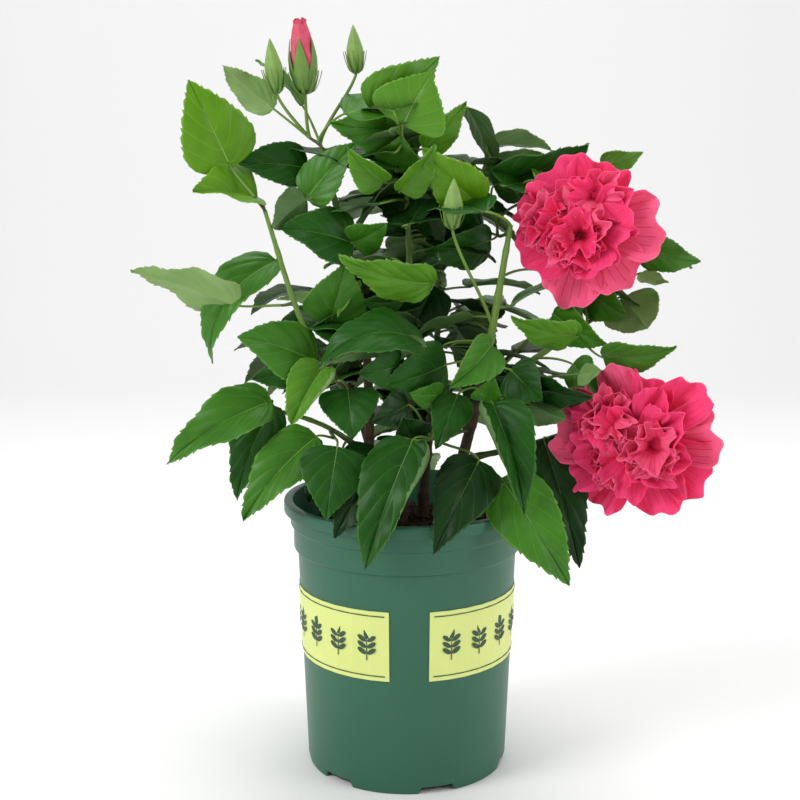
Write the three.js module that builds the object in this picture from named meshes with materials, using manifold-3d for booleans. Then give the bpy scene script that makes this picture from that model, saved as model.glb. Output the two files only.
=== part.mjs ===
// A double-flowered hibiscus shrub standing in its plastic nursery pot.
// Millimetres, +Z up, the front of the plant towards -Y. The origin is the centre of the pot's flat underside.
// The pot, its compost, the two printed bands, every stem and bough, each mass of leaves, each open bloom and each
// large bud is a solid of its own.
import * as THREE from "three";
import { mergeVertices } from "three/addons/utils/BufferGeometryUtils.js";
import Module from "manifold-3d";

const wasm = await Module();
wasm.setup();

// ---- driving dimensions ----
const POT = {
  height: 196,
  rim: 88.5, // outer radius of the rolled rim
  rimDrop: 8, // height of the rim's skirt
  wall: 1.6,
  collar: 83.8, // outer radius just under the rim
  collarFoot: 178, // the collar steps in here
  neck: 81.6, // outer radius of the band between the collar and the fine groove
  neckFoot: 161,
  body: 78.8, // outer radius under the groove
  foot: 72.9, // outer radius just over the rounded foot
  footRise: 9,
  pad: 52, // radius of the flat pad under the middle of the floor
  channel: 5, // how far the floor is raised between the pad and the wall
};
const NOTCH = { count: 6, firstDeg: 17, spanDeg: 20.6, height: 4.5 };
const DRAIN = { count: 6, radius: 4, at: 62, firstDeg: 48 };
const SOIL_TOP = 174;
const BAND = { low: 84, high: 134, thick: 0.4, gapDeg: 20.5, middleDeg: 1 };
const GAP = 0.4; // clear space kept between two solids
const LATHE_SEGMENTS = 32;
const LIMB = { sides: 6, rings: 7 };

const COLOURS = {
  pot: 0x2f6149,
  band: 0xdbe07a,
  soil: 0x2a2019,
  bark: 0x5f5136,
  shoot: 0x6b8f3a,
  leaf: 0x2c6427,
  youngLeaf: 0x5d9730,
  petal: 0xe8436e,
  bud: 0x7fa64a,
};

// Stems rise from the compost and boughs leave a stem. bow is how far the middle stands off the straight line.
const LIMBS = [
  { name: "stem_left", from: [-28, 5, SOIL_TOP], to: [-59, -4, 444], bow: [14, 3, 0], foot: 4.2, tip: 1.6 },
  { name: "stem_centre", from: [-4, 14, SOIL_TOP], to: [-1, 4, 436], bow: [5, 2, 0], foot: 3.6, tip: 1.5 },
  { name: "stem_right", from: [32, 1, SOIL_TOP], to: [70, -28, 392], bow: [2, 2, 0], foot: 4.4, tip: 1.8 },
  { name: "stem_back", from: [12, 27, SOIL_TOP], to: [26, 84, 372], bow: [2, -8, 0], foot: 3.6, tip: 1.6 },
  { name: "stem_back_left", from: [-18, 24, SOIL_TOP], to: [-66, 74, 340], bow: [4, -6, 0], foot: 3.4, tip: 1.5 },
  { name: "bough_left", from: [-27, 0, 250], to: [-96, -34, 402], bow: [-8, -8, -8], foot: 2.4, tip: 1.4 },
  { name: "bough_low_left", from: [-27, 4, 226], to: [-96, -12, 262], bow: [0, -4, 7], foot: 2.2, tip: 1.3 },
  { name: "bough_right", from: [39, 0, 246], to: [128, 8, 320], bow: [0, 4, 6], foot: 2.8, tip: 1.6 },
  { name: "bough_low_right", from: [35, 2, 222], to: [128, -10, 250], bow: [2, 6, -4], foot: 2.4, tip: 1.5 },
  { name: "bough_back_right", from: [17, 34, 232], to: [112, 72, 318], bow: [6, 0, 8], foot: 2.4, tip: 1.4 },
];

// A mass of leaves runs from its root to its furthest tip. width is across its face, depth is through it, and
// young masses are the pale ones at the ends of the shoots.
const MASSES = [
  { name: "leaves_top", from: [-8, -6, 412], to: [4, -14, 508], width: 92, depth: 70, young: true },
  { name: "leaves_top_left", from: [-32, -6, 384], to: [-116, 10, 432], width: 78, depth: 70 },
  { name: "leaves_left_flag", from: [-88, -32, 420], to: [-151, -42, 417], width: 34, depth: 14, young: true },
  { name: "leaves_left_tip", from: [-116, -12, 428], to: [-152, -24, 492], width: 52, depth: 12, young: true },
  { name: "leaves_by_buds", from: [-72, 4, 462], to: [-128, -4, 502], width: 30, depth: 18, young: true },
  { name: "leaves_far_left", from: [-112, -32, 338], to: [-194, -44, 368], width: 24, depth: 34, young: true },
  { name: "leaves_far_left_droop", from: [-88, 8, 366], to: [-141, -4, 294], width: 36, depth: 26 },
  { name: "leaves_mid_left", from: [-34, -16, 318], to: [-120, -24, 312], width: 76, depth: 62 },
  { name: "leaves_low_left", from: [-78, -30, 272], to: [-171, -44, 224], width: 40, depth: 28 },
  { name: "leaves_low_left_droop", from: [-66, -38, 250], to: [-118, -52, 180], width: 40, depth: 30 },
  { name: "leaves_rim_left", from: [-52, -58, 250], to: [-56, -92, 178], width: 54, depth: 22 },
  { name: "leaves_middle", from: [-10, -22, 292], to: [-12, -28, 388], width: 96, depth: 64 },
  { name: "leaves_low_middle", from: [-4, -34, 222], to: [-8, -34, 302], width: 112, depth: 60 },
  { name: "leaves_rim_front", from: [4, -64, 252], to: [-27, -99, 168], width: 46, depth: 16 },
  { name: "leaves_rim_front_right", from: [42, -62, 238], to: [16, -97, 182], width: 44, depth: 15 },
  { name: "leaves_upper_right", from: [14, 4, 366], to: [78, 4, 430], width: 62, depth: 56 },
  { name: "leaves_high_right", from: [62, 30, 420], to: [127, 22, 450], width: 34, depth: 40 },
  { name: "leaves_behind_bloom", from: [96, 30, 398], to: [160, 26, 440], width: 40, depth: 30 },
  { name: "leaves_right_wing", from: [128, 20, 386], to: [204, 6, 366], width: 36, depth: 36 },
  { name: "leaves_right", from: [118, 14, 342], to: [172, -2, 318], width: 46, depth: 50 },
  { name: "leaves_right_shelf", from: [62, -34, 312], to: [184, -30, 300], width: 32, depth: 48 },
  { name: "leaves_low_right", from: [52, -8, 262], to: [134, -8, 276], width: 48, depth: 66 },
  { name: "leaves_low_right_droop", from: [60, -52, 272], to: [76, -86, 198], width: 46, depth: 20 },
  { name: "leaves_rim_right", from: [62, -58, 224], to: [105, -84, 152], width: 48, depth: 15 },
  { name: "leaves_rim_right_side", from: [96, -18, 240], to: [120, -42, 156], width: 40, depth: 22 },
  { name: "leaves_back_top", from: [6, 70, 326], to: [-6, 92, 452], width: 144, depth: 84 },
  { name: "leaves_back_left", from: [-40, 66, 268], to: [-138, 92, 318], width: 96, depth: 84 },
  { name: "leaves_back_right", from: [46, 68, 268], to: [146, 88, 322], width: 96, depth: 84 },
  { name: "leaves_back_low", from: [6, 76, 270], to: [2, 146, 180], width: 124, depth: 46 },
];

const BLOOMS = [
  { name: "bloom_upper", at: [120, -36, 391], faces: [-0.22, -0.95, 0.1], radius: 51, depth: 44, lobes: 6 },
  { name: "bloom_lower", at: [156, -44, 244], faces: [-0.3, -0.93, 0.02], radius: 54, depth: 48, lobes: 6 },
];

// A bud stands in its calyx, and length runs from the calyx's foot to the bud's point.
const BUDS = [
  { name: "bud_opening", from: [-70, -5, 480], to: [-73, -8, 530], radius: 10.5, calyx: 0.42, colour: "petal" },
  { name: "bud_left", from: [-89, -12, 480], to: [-93, -14, 516], radius: 7, calyx: 0.42, colour: "bud" },
  { name: "bud_top", from: [-35, 0, 494], to: [-37, -1, 526], radius: 6.6, calyx: 0.5, colour: "bud" },
  { name: "bud_right", from: [30, -36, 390], to: [31, -38, 424], radius: 7.6, calyx: 0.55, colour: "bud" },
];

// ---- working with solids ----
const radians = THREE.MathUtils.degToRad;

function seeded(seed) {
  let state = seed >>> 0;
  return () => {
    state = (state + 0x6d2b79f5) >>> 0;
    let t = Math.imul(state ^ (state >>> 15), 1 | state);
    t = (t + Math.imul(t ^ (t >>> 7), 61 | t)) ^ t;
    return ((t ^ (t >>> 14)) >>> 0) / 2 ** 32;
  };
}

function solid(geometry) {
  const bare = geometry.index ? geometry.toNonIndexed() : geometry.clone();
  for (const name of ["normal", "uv"]) bare.deleteAttribute(name);
  const merged = mergeVertices(bare, 1e-3);
  return new wasm.Manifold(
    new wasm.Mesh({
      numProp: 3,
      vertProperties: merged.attributes.position.array,
      triVerts: new Uint32Array(merged.index.array),
    }),
  );
}

function largest(shape) {
  return shape.decompose().sort((a, b) => b.volume() - a.volume())[0];
}

function geometryOf(shape) {
  const mesh = shape.getMesh();
  const geometry = new THREE.BufferGeometry();
  geometry.setAttribute("position", new THREE.BufferAttribute(mesh.vertProperties, 3));
  geometry.setIndex(new THREE.BufferAttribute(mesh.triVerts, 1));
  geometry.computeVertexNormals();
  return geometry;
}

function lathe(profile, segments = LATHE_SEGMENTS) {
  const points = profile.map(([radius, height]) => new THREE.Vector2(radius, height));
  return new THREE.LatheGeometry(points, segments).rotateX(Math.PI / 2);
}

// Moves each vertex of a geometry by a function of its place.
function reshape(geometry, place) {
  const position = geometry.attributes.position;
  const point = new THREE.Vector3();
  for (let i = 0; i < position.count; i++) {
    point.fromBufferAttribute(position, i);
    position.setXYZ(i, ...place(point).toArray());
  }
  return geometry;
}

// ---- the pot ----
function potRadius(height) {
  const share = (height - POT.footRise) / (POT.neckFoot - POT.footRise);
  return THREE.MathUtils.lerp(POT.foot, POT.body, share);
}

function potProfile() {
  const { height, rim, rimDrop, wall, collar, collarFoot, neck, neckFoot, body, foot, footRise, pad, channel } = POT;
  const round = 1; // softens the rim's outer edge and the steps
  return [
    [0, 0],
    [pad, 0],
    [pad + 2, channel],
    [foot - 2.4, channel],
    [foot - 2, 0],
    [foot - 1, 0],
    [foot - 0.3, 3],
    [foot, footRise],
    [body, neckFoot - round],
    [neck, neckFoot],
    [neck + 0.2, collarFoot - round],
    [collar, collarFoot],
    [collar + 0.2, height - 2 * round],
    [rim - wall, height - 2 * round],
    [rim - wall, height - rimDrop],
    [rim, height - rimDrop],
    [rim, height - round],
    [rim - round, height],
    [collar - wall, height],
    [body - wall, neckFoot],
    [foot - wall, footRise],
    [pad + 3.5, channel + 2],
    [pad + 1.5, 2],
    [0, 2],
  ];
}

function pot() {
  let shape = solid(lathe(potProfile()));
  const turn = (degrees) => new THREE.Matrix4().makeRotationZ(radians(degrees - 90));
  for (let i = 0; i < NOTCH.count; i++) {
    const reach = POT.foot - POT.pad;
    const width = 2 * POT.foot * Math.sin(radians(NOTCH.spanDeg / 2));
    const cutter = new THREE.BoxGeometry(reach, width, 2 * NOTCH.height);
    cutter.translate(POT.pad + 8 + reach / 2, 0, 0);
    cutter.applyMatrix4(turn(NOTCH.firstDeg + (i * 360) / NOTCH.count));
    shape = shape.subtract(solid(cutter));
  }
  for (let i = 0; i < DRAIN.count; i++) {
    const drill = new THREE.CylinderGeometry(DRAIN.radius, DRAIN.radius, 8, 10).rotateX(Math.PI / 2);
    drill.translate(DRAIN.at, 0, POT.channel + 1);
    drill.applyMatrix4(turn(DRAIN.firstDeg + (i * 360) / DRAIN.count));
    shape = shape.subtract(solid(drill));
  }
  return shape;
}

// A thin printed band wrapped round the pot's taper. Two of them meet at the front and the back with a gap.
function band(startDeg, spanDeg) {
  const strip = new THREE.BoxGeometry(1, 1, 1, 16, 1, 1);
  return solid(
    reshape(strip, (p) => {
      const height = THREE.MathUtils.lerp(BAND.low, BAND.high, p.y + 0.5);
      const angle = radians(startDeg + spanDeg * (p.x + 0.5));
      const radius = potRadius(height) + GAP + BAND.thick * (p.z + 0.5);
      return new THREE.Vector3(radius * Math.sin(angle), -radius * Math.cos(angle), height);
    }),
  );
}

function soil() {
  const inner = (height) => potRadius(height) - POT.wall - GAP;
  const top = inner(POT.neckFoot) + 0.4;
  return solid(
    lathe([
      [0, 2 + GAP],
      [POT.pad + 0.9, 2 + GAP],
      [POT.pad + 3, POT.channel + 2 + GAP],
      [inner(POT.footRise), POT.footRise + GAP],
      [inner(POT.neckFoot), POT.neckFoot],
      [top, SOIL_TOP - 3],
      [top - 5, SOIL_TOP - GAP],
      [0, SOIL_TOP - GAP],
    ]),
  );
}

// ---- stems and boughs: a cylinder bent along its line, flared at the foot and cut flat where it stands ----
function limbCurve({ from, to, bow }) {
  const [start, end, off] = [from, to, bow].map((p) => new THREE.Vector3(...p));
  const middle = start.clone().lerp(end, 0.5).add(off);
  const rising = start.z === SOIL_TOP;
  const lift = rising ? start.clone().add(new THREE.Vector3(0, 0, 14)) : start.clone().lerp(middle, 0.2);
  return new THREE.CatmullRomCurve3([start, lift, middle, end], false, "centripetal");
}

function limb(row, grow = 0) {
  const curve = limbCurve(row);
  const rising = row.from[2] === SOIL_TOP;
  const cylinder = new THREE.CylinderGeometry(1, 1, 1, LIMB.sides, LIMB.rings);
  const side = new THREE.Vector3(0, 1, 0);
  return solid(
    reshape(cylinder, (p) => {
      const along = p.y + 0.5;
      const flare = rising ? 1 + 0.45 * Math.exp(-along * 22) : 1;
      const radius = THREE.MathUtils.lerp(row.foot, row.tip, along ** 0.8) * flare + grow;
      const tangent = rising && along < 0.01 ? new THREE.Vector3(0, 0, 1) : curve.getTangentAt(along);
      const across = new THREE.Vector3().crossVectors(side, tangent).normalize();
      const other = new THREE.Vector3().crossVectors(tangent, across);
      return curve
        .getPointAt(along)
        .addScaledVector(across, p.x * radius)
        .addScaledVector(other, -p.z * radius)
        .addScaledVector(tangent, (p.y > 0.49 ? 1 : p.y < -0.49 ? -1 : 0) * grow);
    }),
  );
}

// ---- masses of leaves ----
// Waves of a few leaves' length make the surface uneven. Each mass has its own waves from its own seed.
function unevenness(seed, strength) {
  const random = seeded(seed);
  const waves = Array.from({ length: 4 }, () => ({
    way: new THREE.Vector3(random() - 0.5, random() - 0.5, random() - 0.5).normalize(),
    pitch: 3 + 4 * random(),
    shift: 2 * Math.PI * random(),
  }));
  return (p) => waves.reduce((sum, w) => sum + Math.sin(w.way.dot(p) * w.pitch + w.shift), 0) * (strength / 2);
}

function mass(row, index, grow = 0) {
  const root = new THREE.Vector3(...row.from);
  const tip = new THREE.Vector3(...row.to);
  const axis = tip.clone().sub(root).normalize();
  const upright = Math.abs(axis.z) > 0.75;
  const through = upright ? new THREE.Vector3(0, 1, 0) : new THREE.Vector3(axis.y, -axis.x, 0).normalize();
  const face = new THREE.Vector3().crossVectors(axis, through).normalize();
  const depthWay = new THREE.Vector3().crossVectors(axis, face).normalize();
  const bumps = unevenness(101 + 37 * index, row.depth < 30 ? 0.1 : 0.17);
  const ball = new THREE.IcosahedronGeometry(1, row.depth < 37 ? 1 : 2);
  const half = tip.distanceTo(root) / 2;
  return solid(
    reshape(ball, (p) => {
      const swell = (1 + bumps(p)) * (1 - 0.22 * p.x);
      return root
        .clone()
        .lerp(tip, 0.5)
        .addScaledVector(axis, p.x * (half + grow))
        .addScaledVector(face, p.y * ((row.width / 2) * swell + grow))
        .addScaledVector(depthWay, p.z * ((row.depth / 2) * swell + grow));
    }),
  );
}

// ---- open blooms: a ruffled dome, lobed at its margin, that narrows to the calyx behind it ----
function bloom({ at, faces, radius, depth, lobes }, grow = 0) {
  const turn = new THREE.Quaternion().setFromUnitVectors(
    new THREE.Vector3(0, 0, 1),
    new THREE.Vector3(...faces).normalize(),
  );
  const ball = new THREE.SphereGeometry(1, 24, 8).rotateX(Math.PI / 2);
  return solid(
    reshape(ball, (p) => {
      const angle = Math.atan2(p.y, p.x);
      const across = Math.hypot(p.x, p.y);
      const ruffle = 1 + 0.07 * across * Math.sin(lobes * angle) + 0.03 * across * Math.sin(2 * lobes * angle + 1);
      const back = p.z < 0 ? 1 + 0.35 * p.z : 1;
      return new THREE.Vector3(p.x * radius * ruffle * back, p.y * radius * ruffle * back, (p.z * depth) / 2)
        .addScaledVector(p, grow)
        .applyQuaternion(turn)
        .add(new THREE.Vector3(...at));
    }),
  );
}

// ---- buds: a pointed ovoid standing in a cupped calyx, turned on a lathe ----
function bud({ from, to, radius, calyx }, grow = 0) {
  const start = new THREE.Vector3(...from);
  const end = new THREE.Vector3(...to);
  const length = start.distanceTo(end);
  const r = radius + grow;
  const profile = [
    [0, -grow],
    [0.35 * r, -grow],
    [0.85 * r, 0.16 * length],
    [r, calyx * length],
    [0.86 * r, (calyx + 0.12) * length],
    [0.6 * r, 0.82 * length],
    [0.2 * r, 0.96 * length + grow],
    [0, length + grow],
  ];
  const turn = new THREE.Quaternion().setFromUnitVectors(
    new THREE.Vector3(0, 0, 1),
    end.clone().sub(start).normalize(),
  );
  return solid(lathe(profile, 8).applyQuaternion(turn).translate(...from));
}

// ---- the assembly ----
const plant = new THREE.Group();
plant.name = "hibiscus_shrub";

function add(name, shape, colour, roughness = 0.6) {
  const material = new THREE.MeshStandardMaterial({ color: COLOURS[colour], roughness, metalness: 0 });
  const mesh = new THREE.Mesh(geometryOf(shape), material);
  mesh.name = name;
  plant.add(mesh);
}

add("pot", pot(), "pot", 0.5);
add("soil", soil(), "soil", 0.95);
const bandSpan = 180 - BAND.gapDeg;
for (const [name, side] of [["band_right", 0], ["band_left", 180]])
  add(name, band(BAND.middleDeg + side + BAND.gapDeg / 2, bandSpan), "band", 0.5);

// Whatever is placed later is cut clear of what stands there already. The pot counts as filled to its brim.
const { height: rimTop, rim: rimRadius } = POT;
const potSpace = solid(
  lathe([
    [0, 0],
    [rimRadius + 1, 0],
    [rimRadius + 1, rimTop + 1],
    [0, rimTop + 1],
  ]),
);
const taken = [];
const clearOf = (shape, others) => others.reduce((left, other) => left.subtract(other), shape);

for (const row of LIMBS) {
  const shape = largest(clearOf(limb(row), taken));
  taken.push(limb(row, GAP));
  add(row.name, shape, row.from[2] > SOIL_TOP ? "shoot" : "bark", 0.75);
}
for (const row of BLOOMS) {
  add(row.name, largest(clearOf(bloom(row), taken)), "petal", 0.55);
  taken.push(bloom(row, GAP));
}
for (const row of BUDS) {
  add(row.name, largest(clearOf(bud(row), taken)), row.colour, 0.55);
  taken.push(bud(row, GAP));
}
MASSES.forEach((row, index) => {
  const shape = largest(clearOf(mass(row, index), [potSpace, ...taken]));
  taken.push(mass(row, index, GAP));
  add(row.name, shape, row.young ? "youngLeaf" : "leaf", 0.5);
});

export default plant;
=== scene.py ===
# %% [markdown]
# # A double-flowered hibiscus in its nursery pot
# A young hibiscus shrub is a handful of thin stems, a lot of broad toothed leaves on long stalks, and a
# few very large flowers. The solids from the workshop give where each of these is. Here every solid but
# the bands is replaced: stems get bark, masses of leaves become separate leaves, and blooms become
# petals. We build in metres, with small sizes written in millimetres and multiplied by MM.

# %% Load the workshop's solids
import math

import bmesh
import bpy
import numpy as np
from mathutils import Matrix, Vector


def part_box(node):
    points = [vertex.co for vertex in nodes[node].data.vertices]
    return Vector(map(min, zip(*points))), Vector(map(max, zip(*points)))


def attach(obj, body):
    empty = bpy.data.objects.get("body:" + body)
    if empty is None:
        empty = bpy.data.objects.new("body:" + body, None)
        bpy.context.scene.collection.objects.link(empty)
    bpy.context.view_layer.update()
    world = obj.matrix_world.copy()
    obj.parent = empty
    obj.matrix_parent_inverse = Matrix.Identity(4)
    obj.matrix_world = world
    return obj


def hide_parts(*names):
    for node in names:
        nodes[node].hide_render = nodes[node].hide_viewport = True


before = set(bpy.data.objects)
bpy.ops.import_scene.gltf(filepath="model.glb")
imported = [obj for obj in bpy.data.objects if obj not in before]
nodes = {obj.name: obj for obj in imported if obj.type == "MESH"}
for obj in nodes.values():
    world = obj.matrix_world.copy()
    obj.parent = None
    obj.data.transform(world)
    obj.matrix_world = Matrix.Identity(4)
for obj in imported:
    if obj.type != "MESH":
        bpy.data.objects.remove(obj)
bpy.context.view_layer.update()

MM = 0.001

# %% [markdown]
# ## Two tools for making meshes
# A plant is thousands of small thin shapes. Making each one an object of its own would be slow, so a Pile
# collects points and faces and becomes one mesh at the end. Every face remembers which material it takes.
# A leaf or petal is a grid of points with a front and a back a fraction of a millimetre apart, closed
# round its edge, and a stalk or stem is a row of rings. Both go into a Pile.

# %% A pile of faces that becomes one mesh
def link_object(name, data):
    piece = bpy.data.objects.new(name, data)
    bpy.context.scene.collection.objects.link(piece)
    return piece


def to_mesh(made, name):
    """Turns a bmesh into a mesh and frees it."""
    mesh = bpy.data.meshes.new(name)
    made.to_mesh(mesh)
    made.free()
    return mesh


class Pile:
    def __init__(self):
        self.points, self.corners, self.sizes, self.slots, self.total = [], [], [], [], 0

    def add(self, points, quads, slots):
        points, quads = np.reshape(points, (-1, 3)), np.reshape(quads, (-1, 4))
        self.points.append(points)
        self.corners.append((quads + self.total).ravel())
        self.sizes.append(np.full(len(quads), 4))
        self.slots.append(np.broadcast_to(slots, (len(quads),)))
        self.total += len(points)

    def cap(self, ring, slot):
        """Closes an open end. ring counts back from the last point added."""
        self.corners.append(self.total - 1 - np.array(ring))
        self.sizes.append(np.array([len(ring)]))
        self.slots.append(np.array([slot]))

    def to_object(self, name, materials):
        corners, sizes = np.concatenate(self.corners), np.concatenate(self.sizes)
        mesh = bpy.data.meshes.new(name)
        mesh.vertices.add(self.total)
        mesh.vertices.foreach_set("co", np.concatenate(self.points).astype(np.float32).ravel())
        mesh.loops.add(len(corners))
        mesh.loops.foreach_set("vertex_index", corners.astype(np.int32))
        mesh.polygons.add(len(sizes))
        starts = np.concatenate([[0], np.cumsum(sizes)[:-1]])
        mesh.polygons.foreach_set("loop_start", starts.astype(np.int32))
        mesh.polygons.foreach_set("material_index", np.concatenate(self.slots).astype(np.int32))
        for material in materials:
            mesh.materials.append(material)
        mesh.update(calc_edges=True)
        mesh.validate()
        mesh.shade_smooth()
        print(f"{name}: {int((sizes - 2).sum())} triangles")
        return link_object(name, mesh)


# %% Thin two-sided sheets and round stalks
def unit(v):
    return v / np.maximum(np.linalg.norm(v, axis=-1, keepdims=True), 1e-9)


def grid_normals(grid):
    along, across = np.gradient(grid, axis=0), np.gradient(grid, axis=1)
    return unit(np.cross(across, along))


def add_sheet(pile, grid, thickness, front_slots, back_slot):
    """A closed sheet: grid is its front, rows by columns, and its back lies behind it."""
    rows, columns = grid.shape[:2]
    back = grid - grid_normals(grid) * thickness
    index = np.arange(rows * columns).reshape(rows, columns)
    a, b, c, d = index[:-1, :-1], index[:-1, 1:], index[1:, 1:], index[1:, :-1]
    front = np.stack([a, b, c, d], -1).reshape(-1, 4)
    behind = front[:, [0, 3, 2, 1]] + rows * columns  # split as the front is, or twisted cells would cross
    rim = np.concatenate([index[0, :-1], index[:-1, -1], index[-1, :0:-1], index[:0:-1, 0]])
    following = np.roll(rim, -1)
    edge = np.stack([rim, rim + rows * columns, following + rows * columns, following], -1)
    slots = np.concatenate([
        np.broadcast_to(front_slots, (rows - 1, columns - 1)).ravel(),
        np.full(len(behind) + len(edge), back_slot),
    ])
    points = np.concatenate([grid.reshape(-1, 3), back.reshape(-1, 3)])
    pile.add(points, np.concatenate([front, behind, edge]), slots)


def add_stalk(pile, path, radii, sides=7, slot=0, bumps=None):
    """A round stalk along path, closed at both ends. bumps multiplies each ring's radius round its sides."""
    path = np.asarray(path, float)
    tangent = unit(np.gradient(path, axis=0))
    aside = np.array([0.31, 0.95, 0.05])
    rings = []
    angles = np.linspace(0, 2 * math.pi, sides, endpoint=False)
    for i, (point, way, radius) in enumerate(zip(path, tangent, radii)):
        aside = unit(aside - way * (aside @ way))
        other = np.cross(way, aside)
        size = radius * (np.ones(sides) if bumps is None else bumps[i])
        rings.append(point + np.outer(size * np.cos(angles), aside) + np.outer(size * np.sin(angles), other))
    index = np.arange(len(rings) * sides).reshape(len(rings), sides)
    low, high = index[:-1], index[1:]
    quads = np.stack([low, np.roll(low, -1, 1), np.roll(high, -1, 1), high], -1)
    pile.add(np.concatenate(rings), quads, slot)
    pile.cap(range(sides), slot)
    first = len(rings) * sides
    pile.cap([first - 1 - k for k in range(sides)], slot)


def bezier(a, b, c, d, count):
    t = np.linspace(0, 1, count)[:, None]
    return (1 - t) ** 3 * a + 3 * t * (1 - t) ** 2 * b + 3 * t * t * (1 - t) * c + t ** 3 * d


# %% [markdown]
# ## Finishes
# The same few effects come back in many finishes: a soft mottle between two tones, and fine grain that
# only moves the light. Each is a shader node group, built once, whose outputs are colours or heights. The
# glossy part of every finish, its Principled shader, stays in the material itself.

# %% A short way to wire nodes
def add_node(tree, kind, links=(), **values):
    """Adds a node. Text keys set properties, and links are (input, value or socket)."""
    node = tree.nodes.new(kind)
    for key, value in values.items():
        setattr(node, key, value)
    for name, source in links:
        if isinstance(source, bpy.types.NodeSocket):
            tree.links.new(source, node.inputs[name])
        else:
            node.inputs[name].default_value = source
    return node


def new_group(name, inputs, outputs, family="ShaderNodeTree"):
    tree = bpy.data.node_groups.new(name, family)
    for label, kind, value in inputs:
        socket = tree.interface.new_socket(label, in_out="INPUT", socket_type=f"NodeSocket{kind}")
        if value is not None:
            socket.default_value = value
    for label, kind in outputs:
        tree.interface.new_socket(label, in_out="OUTPUT", socket_type=f"NodeSocket{kind}")
    return tree, tree.nodes.new("NodeGroupInput").outputs, tree.nodes.new("NodeGroupOutput").inputs


def rgb(hex_colour):
    """A screen colour as the linear light that the shader wants."""
    parts = [int(hex_colour[i:i + 2], 16) / 255 for i in (0, 2, 4)]
    return tuple(p / 12.92 if p < 0.04 else ((p + 0.055) / 1.055) ** 2.4 for p in parts) + (1.0,)


# %% Mottle: two tones of one colour, drifting into each other
mottle, given, out = new_group(
    "mottle",
    [("Tone", "Color", (0.5, 0.5, 0.5, 1)), ("Second tone", "Color", (0.4, 0.4, 0.4, 1)),
     ("Scale", "Float", 40.0), ("Sharpness", "Float", 0.5)],
    [("Color", "Color"), ("Mask", "Float")],
)
place = add_node(mottle, "ShaderNodeTexCoord").outputs["Object"]
drift = add_node(mottle, "ShaderNodeTexNoise", [
    ("Vector", place), ("Scale", given["Scale"]), ("Detail", 3.0)])
low = add_node(mottle, "ShaderNodeMath", [(0, 0.5), (1, given["Sharpness"])], operation="SUBTRACT")
high = add_node(mottle, "ShaderNodeMath", [(0, 0.5), (1, given["Sharpness"])], operation="ADD")
spread = add_node(mottle, "ShaderNodeMapRange", [
    ("Value", drift.outputs["Fac"]), ("From Min", low.outputs[0]), ("From Max", high.outputs[0])])
tones = add_node(mottle, "ShaderNodeMix", data_type="RGBA")
mottle.links.new(spread.outputs[0], tones.inputs["Factor"])
mottle.links.new(given["Tone"], tones.inputs["A"])
mottle.links.new(given["Second tone"], tones.inputs["B"])
mottle.links.new(tones.outputs["Result"], out["Color"])
mottle.links.new(spread.outputs[0], out["Mask"])

# %% Grain: a fine uneven height for moulded, waxy and woody surfaces
grain, given, out = new_group(
    "grain", [("Scale", "Float", 900.0), ("Stretch", "Float", 1.0)], [("Height", "Float")])
place = add_node(grain, "ShaderNodeTexCoord").outputs["Object"]
squeeze = add_node(grain, "ShaderNodeCombineXYZ", [("X", 1.0), ("Y", 1.0), ("Z", given["Stretch"])])
drawn = add_node(grain, "ShaderNodeVectorMath", [(0, place), (1, squeeze.outputs[0])], operation="MULTIPLY")
fine = add_node(grain, "ShaderNodeTexNoise", [
    ("Vector", drawn.outputs[0]), ("Scale", given["Scale"]), ("Detail", 4.0), ("Roughness", 0.6)])
grain.links.new(fine.outputs["Fac"], out["Height"])


# %% A finish: mottled colour, grain and gloss
def finish(name, tone, second, scale=40.0, sharpness=0.25, roughness=0.5, second_roughness=None,
           grain_scale=900.0, grain_depth=0.1, stretch=1.0, coat=0.0, sheen=0.0, light_through=0.0,
           mirror=0.5):
    material = bpy.data.materials.new(name)
    material.use_nodes = True
    tree = material.node_tree
    shader = tree.nodes["Principled BSDF"]
    drift = add_node(tree, "ShaderNodeGroup", node_tree=mottle)
    for label, value in (("Tone", tone), ("Second tone", second)):
        drift.inputs[label].default_value = rgb(value)
    drift.inputs["Scale"].default_value = scale
    drift.inputs["Sharpness"].default_value = sharpness
    tree.links.new(drift.outputs["Color"], shader.inputs["Base Color"])
    if second_roughness is None:
        shader.inputs["Roughness"].default_value = roughness
    else:
        gloss = add_node(tree, "ShaderNodeMapRange", [
            ("Value", drift.outputs["Mask"]), ("To Min", roughness), ("To Max", second_roughness)])
        tree.links.new(gloss.outputs[0], shader.inputs["Roughness"])
    height = add_node(tree, "ShaderNodeGroup", node_tree=grain)
    height.inputs["Scale"].default_value = grain_scale
    height.inputs["Stretch"].default_value = stretch
    bump = add_node(tree, "ShaderNodeBump", [("Strength", 1.0), ("Distance", grain_depth * MM)])
    tree.links.new(height.outputs["Height"], bump.inputs["Height"])
    tree.links.new(bump.outputs["Normal"], shader.inputs["Normal"])
    shader.inputs["Specular IOR Level"].default_value = mirror
    shader.inputs["Coat Weight"].default_value = coat
    shader.inputs["Coat Roughness"].default_value = 0.25
    shader.inputs["Sheen Weight"].default_value = sheen
    shader.inputs["Subsurface Weight"].default_value = light_through
    shader.inputs["Subsurface Radius"].default_value = (0.002, 0.002, 0.001)
    shader.inputs["Subsurface Scale"].default_value = 0.5
    return material


# %% [markdown]
# ## The pot
# A nursery pot is blown or moulded in thin plastic: a rolled rim, a collar that steps in twice, a long
# gentle taper and a foot with notches that let water out. Its outline is the same all round, so it could
# be spun from a profile. The notches break the outline only at the foot, so here the profile is a
# function of the angle: in a notch, the foot's lowest points are lifted. The drain holes are cut
# afterwards with a Boolean.

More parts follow.
